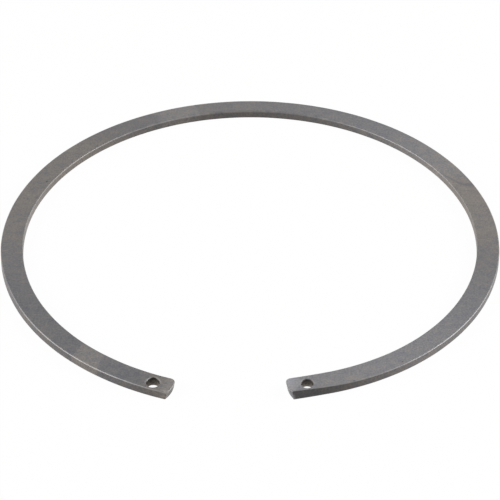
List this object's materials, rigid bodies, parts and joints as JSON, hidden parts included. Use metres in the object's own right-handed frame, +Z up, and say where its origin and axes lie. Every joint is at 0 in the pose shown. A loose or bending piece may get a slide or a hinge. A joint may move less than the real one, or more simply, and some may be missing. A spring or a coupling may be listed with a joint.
{
  "type": "internal circlip retaining ring",
  "caption": "Flat internal circlip of even section, an open spring-steel ring with a pliers hole in each end, for holding parts in a bore.",
  "frame": {"origin": "the centre of the ring, on the lower face that it lies on", "axes": "+Z up along the bore's axis, +Y from the mouth to the closed back of the ring, +X to the right arm as seen from the mouth"},
  "size_m": [0.132, 0.1304, 0.002],
  "materials": {
    "spring_steel": "dull dark phosphate and oil, lightly worn on the edges"
  },
  "bodies": {
    "root": {"retaining_ring": "spring_steel"}
  },
  "joints": []
}
